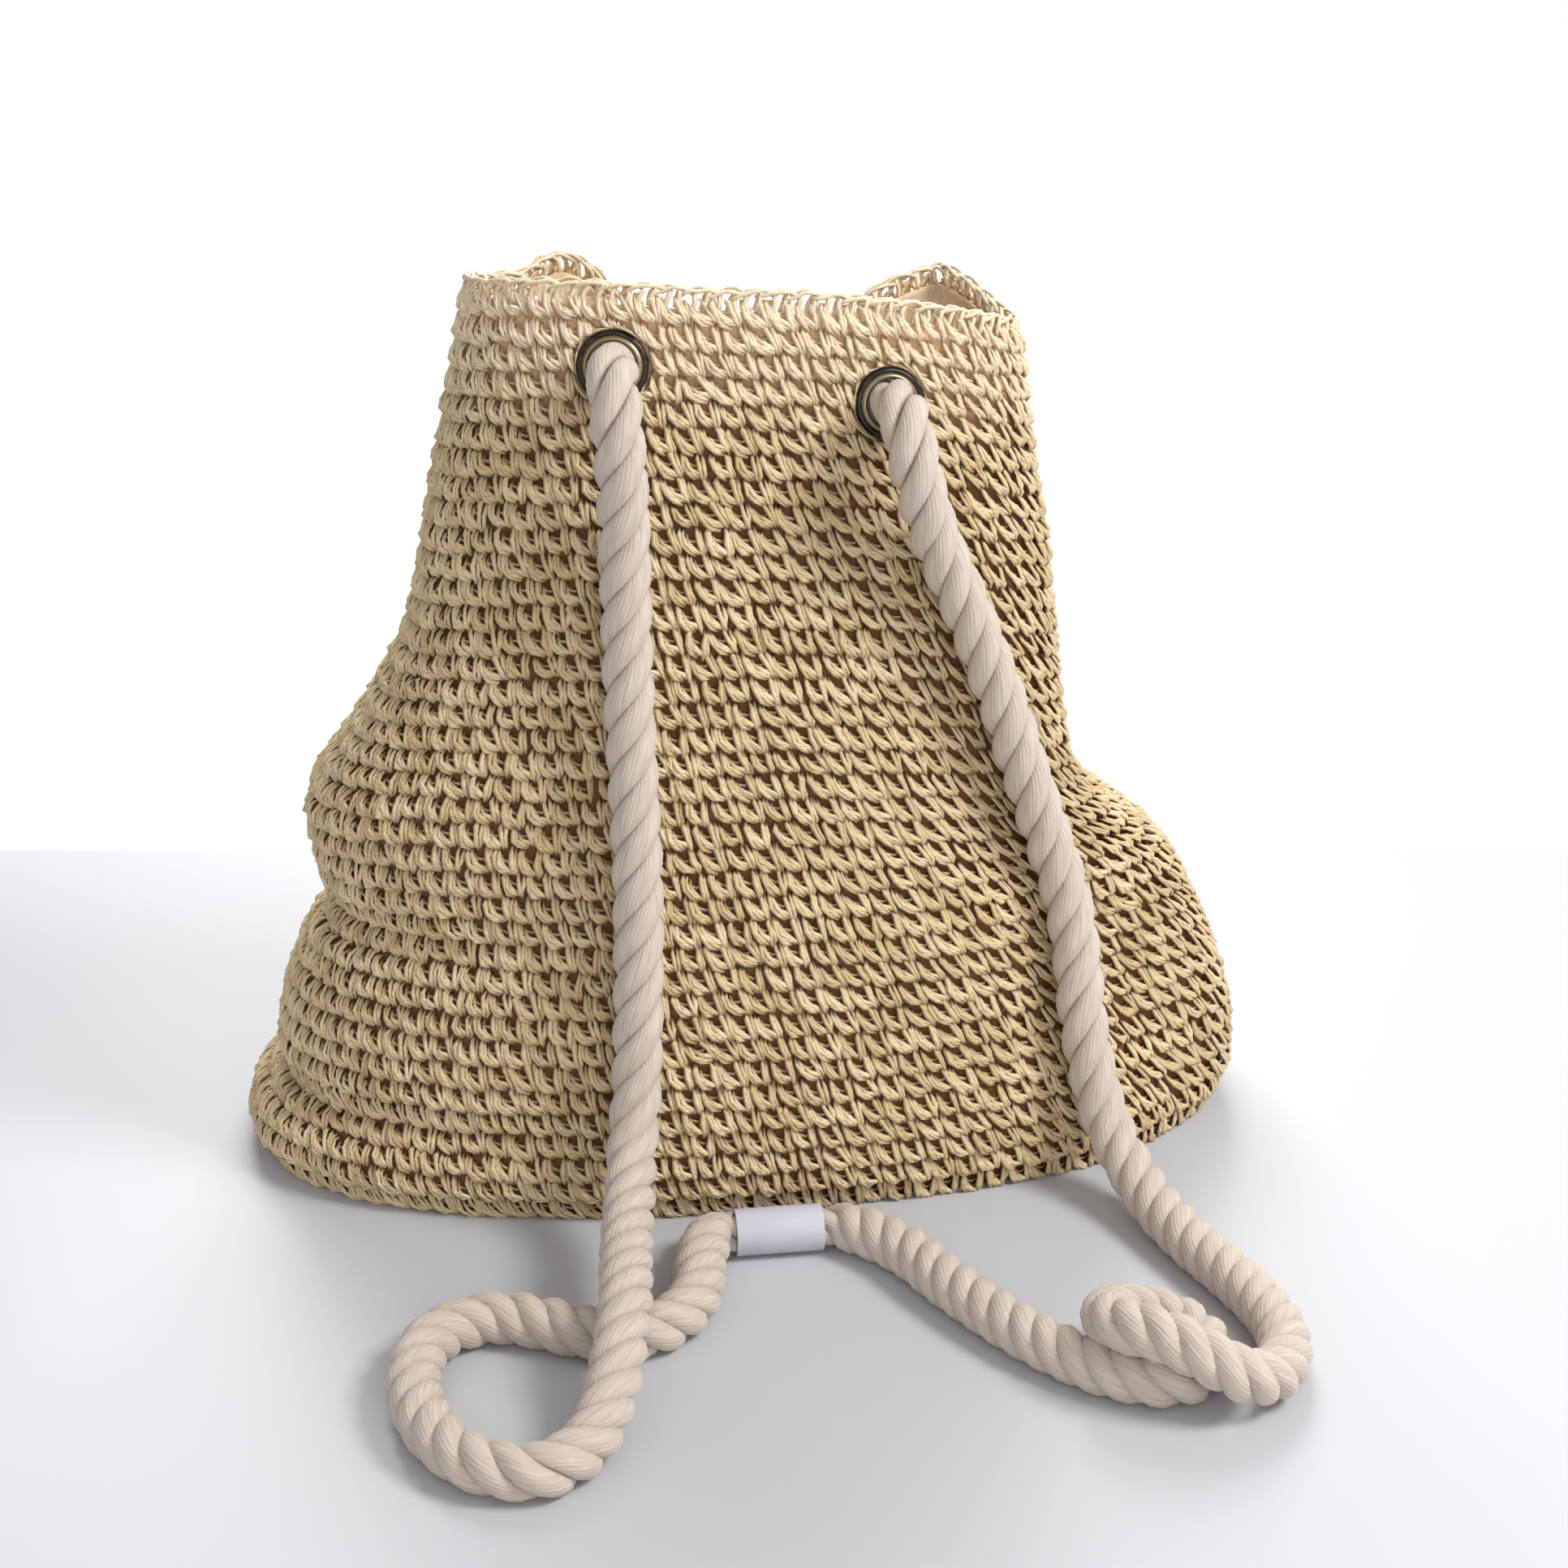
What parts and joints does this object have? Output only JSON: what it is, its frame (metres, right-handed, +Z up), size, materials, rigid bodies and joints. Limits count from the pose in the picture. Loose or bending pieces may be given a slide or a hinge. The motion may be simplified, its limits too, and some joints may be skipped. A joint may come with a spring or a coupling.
{
  "type": "straw backpack",
  "caption": "Slouchy crocheted straw bucket backpack on an oval base, with metal eyelets near the rim and a thick twisted rope strap that runs through a white loop at its foot.",
  "frame": {"origin": "on the floor under the middle of the oval base", "axes": "+Z up through the opening; +X along the long way of the base, to the right as the back panel is looked at; the back panel with its eyelets and rope faces -Y"},
  "size_m": [0.4142, 0.4056, 0.3644],
  "materials": {
    "straw_weave": "crocheted twisted paper straw, satin",
    "cotton_rope": "three-strand twisted cotton rope, matt",
    "antique_brass": "dark antique brass, polished",
    "white_loop": "plain white, matt"
  },
  "bodies": {
    "root": {"straw_wall": "straw_weave", "straw_base": "straw_weave", "rim_edging": "straw_weave", "grommet_left_eyelet": "antique_brass", "grommet_left_washer": "antique_brass", "grommet_right_eyelet": "antique_brass", "grommet_right_washer": "antique_brass", "strap_knot_left": "cotton_rope", "strap_knot_right": "cotton_rope", "strap_rope_left": "cotton_rope", "strap_rope_right": "cotton_rope", "strap_rope_core": "cotton_rope", "strap_sleeve": "white_loop"}
  },
  "joints": []
}
